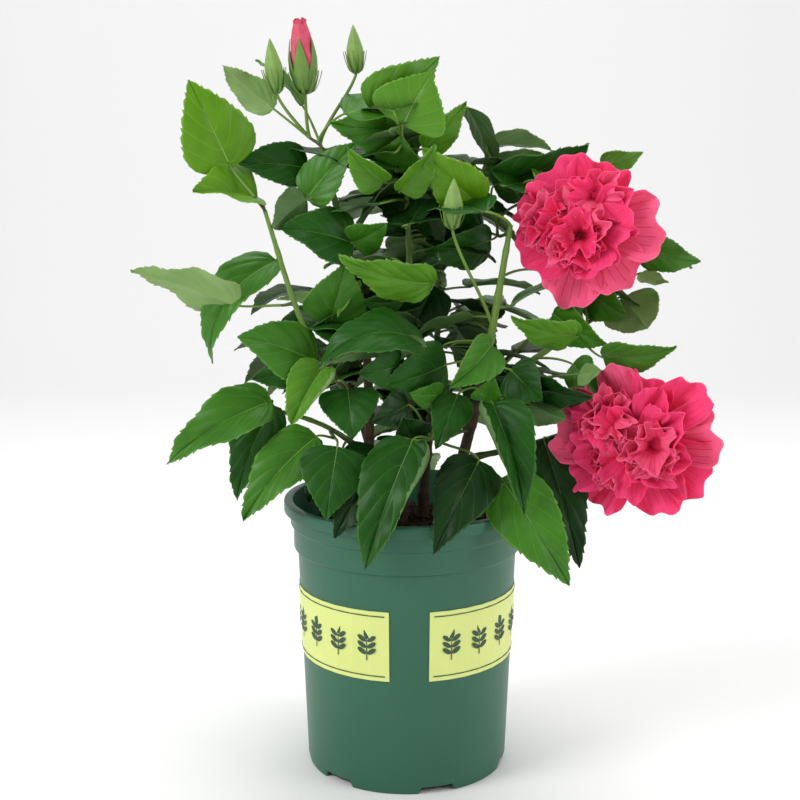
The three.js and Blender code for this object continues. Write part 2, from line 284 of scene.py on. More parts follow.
# %% Sizes read off the pot's solid
pot_low, pot_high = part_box("pot")
POT_HEIGHT = pot_high[2] - pot_low[2]
RIM = (pot_high[0] - pot_low[0]) / 2
WALL = 1.6 * MM
COLLAR, NECK, BODY, FOOT = (RIM * share for share in (0.947, 0.922, 0.890, 0.824))
COLLAR_FOOT, NECK_FOOT, FOOT_RISE = POT_HEIGHT - 18 * MM, POT_HEIGHT - 35 * MM, 9 * MM
PAD, CHANNEL = 52 * MM, 5 * MM
NOTCHES, NOTCH_FIRST, NOTCH_SPAN, NOTCH_HEIGHT = 6, 17.0, 20.6, 4.5 * MM
print(f"pot {2 * RIM / MM:.0f} mm across, {POT_HEIGHT / MM:.0f} mm high")


def wall_radius(height):
    share = (height - FOOT_RISE) / (NECK_FOOT - FOOT_RISE)
    return FOOT + (BODY - FOOT) * share


# %% The pot's profile at one angle
def rounded(corner_before, corner, corner_after, size, steps=4):
    """Points of a round where two straight stretches of a profile meet."""
    a, b, c = (np.array(p, float) for p in (corner_before, corner, corner_after))
    start, end = b + unit(a - b) * size, b + unit(c - b) * size
    t = np.linspace(0, 1, steps)[:, None]
    return [tuple(p) for p in (1 - t) ** 2 * start + 2 * t * (1 - t) * b + t ** 2 * end]


def pot_profile(lift):
    top, skirt = POT_HEIGHT, POT_HEIGHT - 8 * MM
    r = 0.9 * MM
    sharp = [
        (PAD, 0, 0), (PAD + 2 * MM, CHANNEL, 0), (FOOT - 2.6 * MM, CHANNEL, 0), (FOOT - 2.2 * MM, lift, 0),
        (FOOT - 1.2 * MM, lift, 0), (FOOT - 0.1 * MM, max(5 * MM, lift + 1 * MM), 0), (FOOT, FOOT_RISE, 0),
        (BODY, NECK_FOOT - 1.6 * MM, r), (NECK, NECK_FOOT, r), (NECK + 0.2 * MM, COLLAR_FOOT - 1.4 * MM, r),
        (COLLAR, COLLAR_FOOT, r), (COLLAR + 0.2 * MM, top - 2 * MM, r), (RIM - WALL, top - 2 * MM, 0),
        (RIM - WALL, skirt, 0.3 * MM), (RIM, skirt, 0.4 * MM), (RIM, top, 1.6 * MM),
        (COLLAR - WALL, top, 1.2 * MM),
        (BODY - WALL, NECK_FOOT, r), (FOOT - WALL, FOOT_RISE, 0), (PAD + 3.5 * MM, CHANNEL + 2 * MM, 0),
        (PAD + 1.5 * MM, 2 * MM, 0),
    ]
    points = []
    for i, (radius, height, size) in enumerate(sharp):
        if size:
            points += rounded(sharp[i - 1][:2], (radius, height), sharp[(i + 1) % len(sharp)][:2], size)
        else:
            points.append((radius, height))
    return points


# %% Sweep it round, lifting the foot in each notch
def notch_lift(degrees):
    off = (degrees - NOTCH_FIRST + 180 / NOTCHES) % (360 / NOTCHES) - 180 / NOTCHES
    return NOTCH_HEIGHT * float(np.clip((NOTCH_SPAN / 2 - abs(off)) / 0.8, 0, 1))


def sweep_pot():
    turns = 360
    made = bmesh.new()
    rings = []
    for i in range(turns):
        degrees = i * 360 / turns
        angle = math.radians(degrees)
        rings.append([made.verts.new((r * math.sin(angle), -r * math.cos(angle), z))
                      for r, z in pot_profile(notch_lift(degrees))])
    count = len(rings[0])
    for one, two in zip(rings, rings[1:] + rings[:1]):
        for k in range(count - 1):
            made.faces.new((one[k], two[k], two[k + 1], one[k + 1]))
    for k in (0, count - 1):
        made.faces.new([ring[k] for ring in rings])
    bmesh.ops.recalc_face_normals(made, faces=made.faces)
    mesh = to_mesh(made, "pot_moulded")
    mesh.shade_smooth()
    return link_object("pot_moulded", mesh)


pot = sweep_pot()

# %% Drill the drain holes
DRAINS, DRAIN_FIRST, DRAIN_RING, DRAIN_RADIUS = 6, 48, 62 * MM, 4 * MM
drills = bmesh.new()
for i in range(DRAINS):
    angle = math.radians(DRAIN_FIRST + 360 // DRAINS * i)
    at = Vector((DRAIN_RING * math.sin(angle), -DRAIN_RING * math.cos(angle), CHANNEL + 1 * MM))
    ends = bmesh.ops.create_cone(
        drills, segments=24, radius1=DRAIN_RADIUS, radius2=DRAIN_RADIUS, depth=9 * MM, cap_ends=True)
    bmesh.ops.translate(drills, verts=ends["verts"], vec=at)
drill = link_object("drills", to_mesh(drills, "drills"))
cut = pot.modifiers.new("drain holes", "BOOLEAN")
cut.operation, cut.object, cut.solver = "DIFFERENCE", drill, "EXACT"


def settle(piece):
    """Turns a piece's modifiers into plain mesh."""
    settled = bpy.data.meshes.new_from_object(piece.evaluated_get(bpy.context.evaluated_depsgraph_get()))
    piece.modifiers.clear()
    piece.data = settled
    return piece


settle(pot)
bpy.data.objects.remove(drill)
pot.data.set_sharp_from_angle(angle=math.radians(38))
print(f"pot: {len(pot.data.vertices)} points")

# %% Green satin plastic
pot_plastic = finish("pot_plastic", "2c644b", "275b44", scale=9, sharpness=0.35, roughness=0.4,
                     second_roughness=0.48, grain_scale=1500, grain_depth=0.02, coat=0.08, mirror=0.35)
pot.data.materials.clear()
pot.data.materials.append(pot_plastic)
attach(pot, "root")
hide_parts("pot")

# %% [markdown]
# ## The printed bands
# A pale film is wrapped round the pot in two lengths. Each keeps its solid, and gets a border line and a
# row of leaf sprigs printed on it. The print is far thinner than anything worth modelling, but a real
# raised outline keeps its place on any export, so each sprig is a flat shape 0.12 mm thick. A sprig
# repeats round the band at an even step, which is what Geometry Nodes are for: points on an arc, a sprig
# on each, turned to face outwards.

# %% One sprig, drawn flat with its face outwards
GREEN_INK = finish("green_ink", "33513a", "2c4833", scale=60, roughness=0.55, grain_depth=0.01)
BAND_FILM = finish("band_film", "dbe68a", "d4df80", scale=25, sharpness=0.3, roughness=0.45,
                   grain_scale=700, grain_depth=0.015, coat=0.05)
band_low, band_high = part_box("band_right")
BAND_MIDDLE = (band_low[2] + band_high[2]) / 2
BAND_HEIGHT = band_high[2] - band_low[2]
SPRIGS, SPRIG_STEP = 9, 17  # the step is in degrees
BORDER_REACH = 77.5  # degrees to each side of a band's middle


def blade_outline(length, width, turn, at):
    """A small pointed leaf, as points on a flat sheet."""
    t = np.linspace(0, math.pi, 6)
    side = np.stack([(1 - np.cos(t)) / 2 * length, np.sin(t) * width / 2], -1)
    shape = np.concatenate([side, (side * [1, -1])[-2:0:-1]])
    c, s = math.cos(turn), math.sin(turn)
    return shape @ np.array([[c, s], [-s, c]]) + at


def sprig_mesh():
    made = bmesh.new()
    shapes = [blade_outline(9, 4.6, math.radians(90), (0, 4.5))]
    for height in (-6, -1.5, 3):
        for side in (-1, 1):
            shapes.append(blade_outline(7.4, 3.4, math.radians(90 - side * 56), (side * 0.5, height)))
    shapes.append(np.array([(-0.35, -10.5), (0.35, -10.5), (0.3, 5), (-0.3, 5)]))
    for shape in shapes:
        flat = made.faces.new([made.verts.new((x * MM, 0, y * MM)) for x, y in shape])
        if flat.normal.y > 0:
            flat.normal_flip()
    bmesh.ops.recalc_face_normals(made, faces=made.faces)
    raised = bmesh.ops.extrude_face_region(made, geom=list(made.faces))
    lifted = [v for v in raised["geom"] if isinstance(v, bmesh.types.BMVert)]
    bmesh.ops.translate(made, verts=lifted, vec=(0, -0.12 * MM, 0))
    bmesh.ops.recalc_face_normals(made, faces=made.faces)
    return to_mesh(made, "sprig")


sprig = link_object("sprig", sprig_mesh())

# %% A node tree that repeats the sprig round the pot
repeat, given, out = new_group(
    "repeat_round_pot",
    [("Motif", "Object", None), ("Count", "Int", 9), ("First angle", "Float", 0.0), ("Step", "Float", 0.2),
     ("Radius", "Float", 0.08), ("Height", "Float", 0.1), ("Ink", "Material", None)],
    [("Geometry", "Geometry")], "GeometryNodeTree",
)
number = add_node(repeat, "GeometryNodeInputIndex").outputs[0]
turned = add_node(repeat, "ShaderNodeMath", [(0, number), (1, given["Step"]), (2, given["First angle"])],
                  operation="MULTIPLY_ADD").outputs[0]


def repeat_maths(operation, *values):
    return add_node(repeat, "ShaderNodeMath", list(enumerate(values)), operation=operation).outputs[0]


x = repeat_maths("MULTIPLY", repeat_maths("SINE", turned), given["Radius"])
outward = repeat_maths("MULTIPLY", repeat_maths("COSINE", turned), given["Radius"])
y = repeat_maths("MULTIPLY", outward, -1.0)
spot = add_node(repeat, "ShaderNodeCombineXYZ", [("X", x), ("Y", y), ("Z", given["Height"])]).outputs[0]
facing = add_node(repeat, "ShaderNodeCombineXYZ", [("Z", turned)]).outputs[0]
spots = add_node(repeat, "GeometryNodePoints", [("Count", given["Count"]), ("Position", spot)])
motif = add_node(repeat, "GeometryNodeObjectInfo", [("Object", given["Motif"])])
placed = add_node(repeat, "GeometryNodeInstanceOnPoints", [
    ("Points", spots.outputs[0]), ("Instance", motif.outputs["Geometry"]), ("Rotation", facing)])
real = add_node(repeat, "GeometryNodeRealizeInstances", [("Geometry", placed.outputs[0])])
inked = add_node(repeat, "GeometryNodeSetMaterial", [
    ("Geometry", real.outputs[0]), ("Material", given["Ink"])])
repeat.links.new(inked.outputs[0], out["Geometry"])


def run_tree(piece, tree, values):
    """Runs a node tree once, with its inputs set by name, and keeps the result as plain mesh."""
    modifier = piece.modifiers.new(tree.name, "NODES")
    modifier.node_group = tree
    for item in tree.interface.items_tree:
        if item.in_out == "INPUT" and item.name in values:
            modifier[item.identifier] = values[item.name]
    return settle(piece)


def print_row(name, middle):
    """A row of sprigs whose middle is at an angle round the pot."""
    return run_tree(link_object(name, bpy.data.meshes.new(name)), repeat, {
        "Motif": sprig, "Count": SPRIGS, "First angle": math.radians(middle - SPRIG_STEP * (SPRIGS - 1) / 2),
        "Step": math.radians(SPRIG_STEP), "Radius": wall_radius(BAND_MIDDLE) + 0.86 * MM,
        "Height": BAND_MIDDLE, "Ink": GREEN_INK})


# %% Print both bands: sprigs, and a thin line inside the border
def border_line(name, first, last):
    """Two thin raised lines that follow the band near its top and bottom edges."""
    pile = Pile()
    for height in (BAND_MIDDLE - BAND_HEIGHT / 2 + 3 * MM, BAND_MIDDLE + BAND_HEIGHT / 2 - 3.7 * MM):
        angle = np.radians(np.linspace(first, last, 90))[:, None]
        z = np.array([height, height + 0.7 * MM])[None, :]
        radius = wall_radius(z) + 0.95 * MM + 0 * angle
        grid = np.stack([radius * np.sin(angle), -radius * np.cos(angle), z + 0 * angle], -1)
        add_sheet(pile, grid[::-1], 0.25 * MM, 0, 0)
    return pile.to_object(name, [GREEN_INK])


for side, middle in (("right", 91.0), ("left", 271.0)):
    band = nodes[f"band_{side}"]
    band.data.materials.clear()
    band.data.materials.append(BAND_FILM)
    row = print_row(f"sprigs_{side}", middle)
    line = border_line(f"border_{side}", middle - BORDER_REACH, middle + BORDER_REACH)
    for piece in (row, line):
        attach(piece, "root")
    print(f"band_{side}: {len(row.data.polygons)} faces of print")
bpy.data.objects.remove(sprig)

# %% [markdown]
# ## The compost
# Bark compost is crumbs of every size on a lumpy bed. The bed is the soil's own solid with its top
# rebuilt as a lumpy dome. The crumbs are small chips strewn over it, a few faces each, and Geometry Nodes
# strew them with a fixed seed, each turned and sized at random.

# %% The lumpy bed
soil_low, soil_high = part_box("soil")
SOIL_TOP, SOIL_RADIUS = soil_high[2], soil_high[0]
EARTH = finish("dark_compost", "2b1f17", "17110d", scale=260, sharpness=0.12, roughness=0.95,
               grain_scale=700, grain_depth=1.2)
CHIP = finish("bark_chip", "4a3626", "2a1d14", scale=90, sharpness=0.2, roughness=0.9, grain_depth=0.6)
BED_SPOKES = 72
rng = np.random.default_rng(7)


def lumps(x, y, seed, size):
    """A smooth random height over the ground, from a few crossing waves."""
    dice = np.random.default_rng(seed)
    height = np.zeros_like(x)
    for pitch in (1, 2.1, 3.7):
        turn, phase = dice.uniform(0, math.pi), dice.uniform(0, 6)
        height += np.sin((x * math.cos(turn) + y * math.sin(turn)) * pitch * 95 + phase) / pitch
    return height * size


def compost_bed():
    pile = Pile()
    angle = np.linspace(0, 2 * math.pi, BED_SPOKES + 1)[:, None]
    across = np.linspace(0.02, 1, 26)[None, :]
    radius = (SOIL_RADIUS - 0.6 * MM) * across + 0 * angle
    x, y = radius * np.cos(angle), radius * np.sin(angle)
    top = SOIL_TOP - 1.6 * MM + lumps(x, y, 3, 0.9 * MM) * (1 - across ** 6) - 2.4 * MM * across ** 8
    deep = np.full((BED_SPOKES + 1, 1), soil_low[2] + 0.3 * MM)
    foot = np.full((BED_SPOKES + 1, 1), FOOT - WALL - 1.2 * MM)
    below = [np.stack([k * foot * np.cos(angle), k * foot * np.sin(angle), deep], -1) for k in (1, 0.02)]
    ring = np.concatenate([np.stack([x, y, top], -1)] + below, 1)
    index = np.arange((BED_SPOKES + 1) * ring.shape[1]).reshape(BED_SPOKES + 1, -1)
    index[-1] = index[0]
    a, b, c, d = index[:-1, :-1], index[:-1, 1:], index[1:, 1:], index[1:, :-1]
    pile.add(ring, np.stack([a, b, c, d], -1), 0)
    pile.corners += [index[:-1, 0][::-1], index[:-1, -1]]
    pile.sizes += [np.array([BED_SPOKES])] * 2
    pile.slots += [np.array([0])] * 2
    return pile.to_object("compost_bed", [EARTH])


bed = compost_bed()
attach(bed, "root")
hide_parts("soil")

# %% Strew the crumbs
chip_mesh = bmesh.new()
bmesh.ops.create_icosphere(chip_mesh, subdivisions=1, radius=1)
for v in chip_mesh.verts:
    dent = 1 + 0.25 * math.sin(9 * v.co.x + 4 * v.co.y)
    v.co = Vector((v.co.x * 1.5, v.co.y * 0.9, v.co.z * 0.5)) * dent
chip = link_object("chip", to_mesh(chip_mesh, "chip"))

strew, given, out = new_group(
    "strew_chips",
    [("Geometry", "Geometry", None), ("Chip", "Object", None), ("Density", "Float", 1.0),
     ("Smallest", "Float", 0.001), ("Largest", "Float", 0.003), ("Seed", "Int", 1),
     ("Bark", "Material", None)],
    [("Geometry", "Geometry")], "GeometryNodeTree",
)
scatter = add_node(strew, "GeometryNodeDistributePointsOnFaces", [
    ("Mesh", given["Geometry"]), ("Density", given["Density"]), ("Seed", given["Seed"])])
turn = add_node(strew, "FunctionNodeRandomValue", data_type="FLOAT_VECTOR")
turn.inputs[1].default_value = (6.3, 6.3, 6.3)
strew.links.new(given["Seed"], turn.inputs["Seed"])
size = add_node(strew, "FunctionNodeRandomValue", data_type="FLOAT")
strew.links.new(given["Smallest"], size.inputs[2])
strew.links.new(given["Largest"], size.inputs[3])
strew.links.new(given["Seed"], size.inputs["Seed"])
crumb = add_node(strew, "GeometryNodeObjectInfo", [("Object", given["Chip"])])
laid = add_node(strew, "GeometryNodeInstanceOnPoints", [
    ("Points", scatter.outputs["Points"]), ("Instance", crumb.outputs["Geometry"]),
    ("Rotation", turn.outputs[0]), ("Scale", size.outputs[1])])
real = add_node(strew, "GeometryNodeRealizeInstances", [("Geometry", laid.outputs[0])])
barked = add_node(strew, "GeometryNodeSetMaterial", [
    ("Geometry", real.outputs[0]), ("Material", given["Bark"])])
strew.links.new(barked.outputs[0], out["Geometry"])

top_disc = bmesh.new()
bmesh.ops.create_circle(top_disc, cap_ends=True, segments=48, radius=SOIL_RADIUS - 5 * MM)
bmesh.ops.translate(top_disc, verts=top_disc.verts, vec=(0, 0, SOIL_TOP - 1.4 * MM))
chips = link_object("compost_chips", to_mesh(top_disc, "compost_chips"))
run_tree(chips, strew, {"Chip": chip, "Density": 110000.0, "Smallest": 0.7 * MM, "Largest": 2.4 * MM,
                        "Seed": 5, "Bark": CHIP})
bpy.data.objects.remove(chip)
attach(chips, "root")
print(f"chips: {len(chips.data.polygons)} faces")

# %% [markdown]
# ## Stems and boughs
# The workshop's stems are plain six-sided tapers. On the shrub the old wood is grey-brown with raised
# pores and swollen joints where leaves once stood, and the young wood is smooth and green. The centre
# line is read back from each solid: its points lie in rings, so the middle of each ring is a point of the
# line. A new stem with bark in its surface is then drawn along it.

# %% Read a limb's centre line and thickness from its solid
def limb_line(node):
    spots = np.unique(np.round([tuple(v.co) for v in nodes[node].data.vertices], 6), axis=0)
    middle = spots.mean(0)
    way = np.linalg.svd(spots - middle)[2][0]
    way = way if way[2] > 0 else -way
    order = np.argsort((spots - middle) @ way)
    spots = spots[order]
    along = (spots - middle) @ way
    groups = np.split(spots, np.nonzero(np.diff(along) > 5 * MM)[0] + 1)
    rings = [g for g in groups if len(g) >= 6]
    line = np.array([g.mean(0) for g in rings])
    radii = np.array([np.linalg.norm(g - g.mean(0), axis=1).mean() for g in rings])
    return line, radii


def smooth_line(line, radii, step):
    """The same line with even points a step apart, on a smooth curve."""
    lengths = np.concatenate([[0], np.cumsum(np.linalg.norm(np.diff(line, axis=0), axis=1))])
    at = np.linspace(0, lengths[-1], max(6, int(lengths[-1] / step)))
    dense = np.stack([np.interp(at, lengths, line[:, k]) for k in range(3)], -1)
    for _ in range(12):
        dense[1:-1] = (dense[:-2] + 2 * dense[1:-1] + dense[2:]) / 4
    return dense, np.interp(at, lengths, radii)


limbs = {}
for name in nodes:
    if name.startswith(("stem_", "bough_")):
        limbs[name] = smooth_line(*limb_line(name), 3 * MM)
        print(name, len(limbs[name][0]), "points,", f"largest radius {limbs[name][1].max() / MM:.1f} mm")

# %% Draw the bark
OLD_BARK = finish("old_bark", "54402a", "33261a", scale=120, sharpness=0.15, roughness=0.85,
                  grain_depth=0.9, stretch=0.35)
GREEN_BARK = finish("green_bark", "4f5f2a", "3d4a20", scale=90, sharpness=0.2, roughness=0.6,
                    grain_depth=0.4, stretch=0.3)
GREEN_STALK = finish("green_stalk", "6f9136", "5a7d2a", scale=60, stretch=0.3)


BARK_SIDES, BARK_SEED = 14, 40
GREEN_FROM = {"stem": 0.62, "bough": 0.35}  # how far up a limb its wood turns green


def bark(line, seed, sides=BARK_SIDES):
    """Each ring's radius round its sides: long ridges, pores and a swelling every few centimetres."""
    dice = np.random.default_rng(seed)
    rings = len(line)
    ridge = dice.normal(0, 0.05, (1, sides)) + dice.normal(0, 0.035, (rings, sides))
    height = np.arange(rings) * 3
    joints = np.exp(-((height % 31 - 15) / 2.6) ** 2) * 0.2
    return 1 + ridge + joints[:, None]


for i, (name, (line, radii)) in enumerate(limbs.items()):
    pile = Pile()
    add_stalk(pile, line, radii * 1.08, sides=BARK_SIDES, bumps=bark(line, BARK_SEED + i))
    young = name.startswith("bough")
    piece = pile.to_object(f"{name}_bark", [GREEN_BARK if young else OLD_BARK, GREEN_STALK])
    heights = np.array([p.center.z for p in piece.data.polygons])
    share = (heights - line[0][2]) / (line[-1][2] - line[0][2])
    piece.data.polygons.foreach_set("material_index",
                                    (share > GREEN_FROM["bough" if young else "stem"]).astype(np.int32))
    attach(piece, "root")
    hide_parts(name)

# %% [markdown]
# ## How a leaf is made
# A hibiscus leaf is broad and pointed with a toothed edge. One sunken midrib runs to the tip, and five
# pairs of side veins sweep forward from it to the teeth, with the blade puffed up between them. The mesh
# is laid out the way the leaf is: its rows start on the midrib and sweep forward with the veins, a thin
# row for each vein and four wider ones for the blade. A vein is then a row of faces with its own paler
# colour, and no picture is needed.

# %% The leaf's pattern of rows and columns
VEIN_FOOT = np.array([0, 0.012, 0.035, 0.20, 0.40, 0.63, 0.985])  # where each vein leaves the midrib
VEIN_END = np.array([0, 0.20, 0.40, 0.58, 0.74, 0.88, 0.992])  # where it meets the edge
STEPS = np.array([0.0, 0.045, 0.28, 0.52, 0.76])  # rows between one vein and the next
veins_at = np.concatenate([k + STEPS for k in range(len(VEIN_FOOT) - 1)] + [[len(VEIN_FOOT) - 1]])
ROWS = np.interp(veins_at, range(len(VEIN_FOOT)), VEIN_FOOT)
SWEPT = np.interp(veins_at, range(len(VEIN_END)), VEIN_END)
SWEPT[0] = 0.004
half = np.array([0.014, 0.16, 0.34, 0.54, 0.74, 0.90, 0.972, 1.0])
COLUMNS = np.concatenate([-half[::-1], half])
TOOTH = np.resize([1.0, -0.4, 0.5, 0.9, -0.4], len(ROWS)) * np.clip((1 - SWEPT) * 8, 0, 1)
LEAF_SLOTS = np.zeros((len(ROWS) - 1, len(COLUMNS) - 1), int)
LEAF_SLOTS[5::5, :] = 3  # side veins
LEAF_SLOTS[:, [0, -1]] = 3  # the thin pale margin
LEAF_SLOTS[:, 7] = 2  # the midrib
print(f"a leaf is {LEAF_SLOTS.size} faces a side")


def leaf_grid(base, tip, up, width, bow=0.05, fold=15, curl=0.15, wave=0.02, hook=0.05, teeth=0.009,
              roll=0.0, dice=rng):
    """The upper face of a leaf. up is the way its face looks, fold lifts both halves,
    hook bends the tip and roll turns one margin over."""
    base, tip, up = (np.asarray(v, float) for v in (base, tip, up))
    length = np.linalg.norm(tip - base)
    ahead = (tip - base) / length
    up = unit(up - ahead * (up @ ahead))
    full, sharp = dice.uniform(0.32, 0.42), dice.uniform(0.98, 1.2)
    peak = full / (full + sharp)
    shape = SWEPT ** full * (1 - SWEPT) ** sharp / (peak ** full * (1 - peak) ** sharp)
    shape[0] *= 0.3
    side = np.abs(COLUMNS)[None, :]
    along = ROWS[:, None] + (SWEPT - ROWS)[:, None] * side ** 1.5
    across = shape[:, None] * COLUMNS[None, :] * width / 2
    edge = side >= 1
    across = across + edge * np.sign(COLUMNS) * TOOTH[:, None] * teeth * length
    along = along + edge * TOOTH[:, None] * teeth
    phase = dice.uniform(0, 6, 2)[(COLUMNS > 0).astype(int)][None, :]
    puff = np.sin(math.pi * (veins_at % 1.0))[:, None] * np.clip(1.5 * side - side ** 2.2, 0, 1)
    lift = (
        0.014 * length * puff
        - 0.010 * length * (side < 0.1)
        + np.abs(across) * math.sin(math.radians(fold))
        - curl * across ** 2 / (width / 2)
        + wave * length * side ** 2 * np.sin(along * 15 + phase)
    )
    across = across * math.cos(math.radians(fold))
    if roll:
        inner = 1 - abs(roll)
        this_half = np.sign(COLUMNS) == np.sign(roll)
        reach_over = np.clip(side - inner, 0, 1) * this_half * shape[:, None] * width / 2
        tight = abs(roll) * width / 2 / 3.0
        across = across - np.sign(roll) * (reach_over - tight * np.sin(reach_over / tight))
        lift = lift + tight * (1 - np.cos(reach_over / tight)) * 1.2
    t = along[..., None]
    middle = base + ahead * length * t + up * length * (bow * 4 * t * (1 - t) - hook * t ** 3)
    slope = ahead + up * (bow * 4 * (1 - 2 * t) - 3 * hook * t ** 2)
    slope = unit(slope)
    face = unit(up - slope * np.sum(up * slope, -1, keepdims=True))
    right = np.cross(slope, face)
    return middle + right * across[..., None] + face * lift[..., None]


# %% [markdown]
# ## Leaf colours
# Old leaves are dark and glossy, young ones at the ends of the shoots are a bright yellow-green, and
# every leaf is paler and duller beneath. The darkest kind, deep, is partly the own colour of old leaves
# and partly painted shade: it is dealt to leaves inside the bush and low in its middle. A kind of leaf
# is four finishes: upper face, underside, midrib and veins. Each leaf is dealt one kind, and all leaves
# of a kind are joined into one piece.

# %% Five kinds of leaf
LEAF_TONES = {
    # deep: partly old-leaf colour, partly painted shade for the shaded inside of the bush
    "deep": ("12380b", "0c2b08", "4c6d38", "4f7a34"),
    "dark": ("20560f", "18470c", "6a8a50", "648f3f"),
    "mid": ("3f7a18", "336b13", "8da46c", "80a850"),
    "fresh": ("568c1f", "497e18", "9cb478", "93b65c"),
    "bright": ("5f9210", "528508", "9cb470", "94b84a"),
}


def blend(one, two, share):
    """A hex colour part of the way from one to two."""
    pairs = [(int(one[k:k + 2], 16), int(two[k:k + 2], 16)) for k in (0, 2, 4)]
    return "".join(f"{round(a + (b - a) * share):02x}" for a, b in pairs)


leaf_finishes, leaf_piles = {}, {}
for kind, (upper, upper_two, under, vein) in LEAF_TONES.items():
    young, old = kind in ("fresh", "bright"), kind in ("deep", "dark")
    leaf_finishes[kind] = [
        finish(f"leaf_{kind}_upper", upper, upper_two, scale=70, sharpness=0.2, roughness=0.36,
               second_roughness=0.48, grain_scale=1400, grain_depth=0.1,
               coat=0.02 if young else 0.04 if old else 0.07, light_through=0.05,
               mirror=0.17 if old else 0.25),
        finish(f"leaf_{kind}_under", under, upper, scale=45, sharpness=0.6, roughness=0.6, grain_scale=1400,
               grain_depth=0.12, light_through=0.05),
        finish(f"leaf_{kind}_midrib", vein, under, scale=60, sharpness=0.3, roughness=0.45, grain_depth=0.05,
               mirror=0.25),
        finish(f"leaf_{kind}_veins", blend(upper, vein, 0.4), upper, scale=60, sharpness=0.3, roughness=0.45,
               grain_depth=0.05, mirror=0.25),
    ]
    leaf_piles[kind] = Pile()
stalk_pile, twig_pile = Pile(), Pile()
LEAF_THICKNESS, LEAF_SPACING = 0.35 * MM, 20 * MM

# %% [markdown]
# ## Wood that leaves hang on
# Every leaf reaches back to the nearest wood by a stalk. Where the nearest wood is too far away, a twig
# grows out towards the leaf first, and later leaves may use that twig too. Starting with the leaves
# closest to the limbs, this one rule gives a natural tree of twigs.

# %% The network of wood, and how it grows
wood = {"at": [], "way": [], "thick": []}


def add_wood(line, radii):
    ways = unit(np.gradient(line, axis=0))
    start = len(line) // 5
    wood["at"] += list(line[start:])
    wood["way"] += list(ways[start:])
    wood["thick"] += list(radii[start:])


for line, radii in limbs.values():
    add_wood(line, radii)


def nearest_wood(point):
    at = np.array(wood["at"])
    off = at - point
    distance = np.linalg.norm(off, axis=1)
    cost = distance + 0.8 * np.maximum(off[:, 2], 0) + 0.15 * np.abs(off[:, 2])
    return int(np.argmin(cost))


def grow_twig(point, reach):
    """A twig towards point that ends reach short of it."""
    i = nearest_wood(point)
    start, way = wood["at"][i], wood["way"][i]
    gap = point - start
    distance = np.linalg.norm(gap)
    if distance <= reach * 1.25:
        return
    end = start + gap * (1 - reach / distance)
    pull = 0.35 * np.linalg.norm(end - start)
    line = bezier(start, start + unit(way + 0.6 * unit(gap)) * pull,
                  end - unit(gap + [0, 0, 0.2 * distance]) * pull, end, max(6, int(distance / (5 * MM))))
    radii = np.linspace(min(1.5 * MM, wood["thick"][i]), 1.0 * MM, len(line))
    joints = 1 + 0.18 * np.exp(-((np.arange(len(line)) % 5 - 2) / 0.8) ** 2)
    add_stalk(twig_pile, line, radii * joints, sides=8)
    add_wood(line, radii)


def grow_leaf(kind, base, tip, up, width, stalk=30 * MM, **shape):
    base, tip = np.asarray(base, float), np.asarray(tip, float)
    grow_twig(base, stalk)
    i = nearest_wood(base)
    start, way = wood["at"][i], wood["way"][i]
    gap, ahead = base - start, unit(tip - base)
    pull = 0.28 * np.linalg.norm(gap)
    inside = base + ahead * 0.06 * np.linalg.norm(tip - base)
    line = bezier(start, start + unit(way + 2 * unit(gap)) * pull,
                  base - unit(ahead + unit(gap)) * pull, base, 10)
    line = np.concatenate([line, [inside]])
    radii = np.concatenate([np.linspace(1.05, 0.75, 10), [0.5]]) * MM
    add_stalk(stalk_pile, line, radii, sides=7)
    grid = leaf_grid(base, tip, up, width, **shape)
    add_sheet(leaf_piles[kind], grid, LEAF_THICKNESS, LEAF_SLOTS, 1)


# %% [markdown]
# ## The leading leaves
# Some leaves make the plant what it is: they give its outline, hang over the rim or catch the light. Each
# is placed one by one. A place is given on the plane through the pot's middle, as it looks from the front,
# with the distance it stands forward of that plane, so a leaf can be moved nearer without leaving its
# place in the view. turn rolls the leaf about its midrib: at 0 its upper face looks at us, at 90 it looks
# to the side, and at 180 we see its underside.

# %% From a place in the view to a place in the plant
EYE = np.array([-5.0, -1000.0, 447.0]) * MM


def in_view(x, z, forward):
    """The point that stands forward of the middle plane on the sight line to (x, z)."""
    on_plane = np.array([x, 0, z]) * MM
    return on_plane + (EYE - on_plane) * (forward * MM / -EYE[1])


def facing(base, tip, turn):
    ahead = unit(tip - base)
    to_eye = unit(EYE - (base + tip) / 2)
    to_eye = unit(to_eye - ahead * (to_eye @ ahead))
    side = np.cross(ahead, to_eye)
    turn = math.radians(turn)
    return to_eye * math.cos(turn) + side * math.sin(turn)
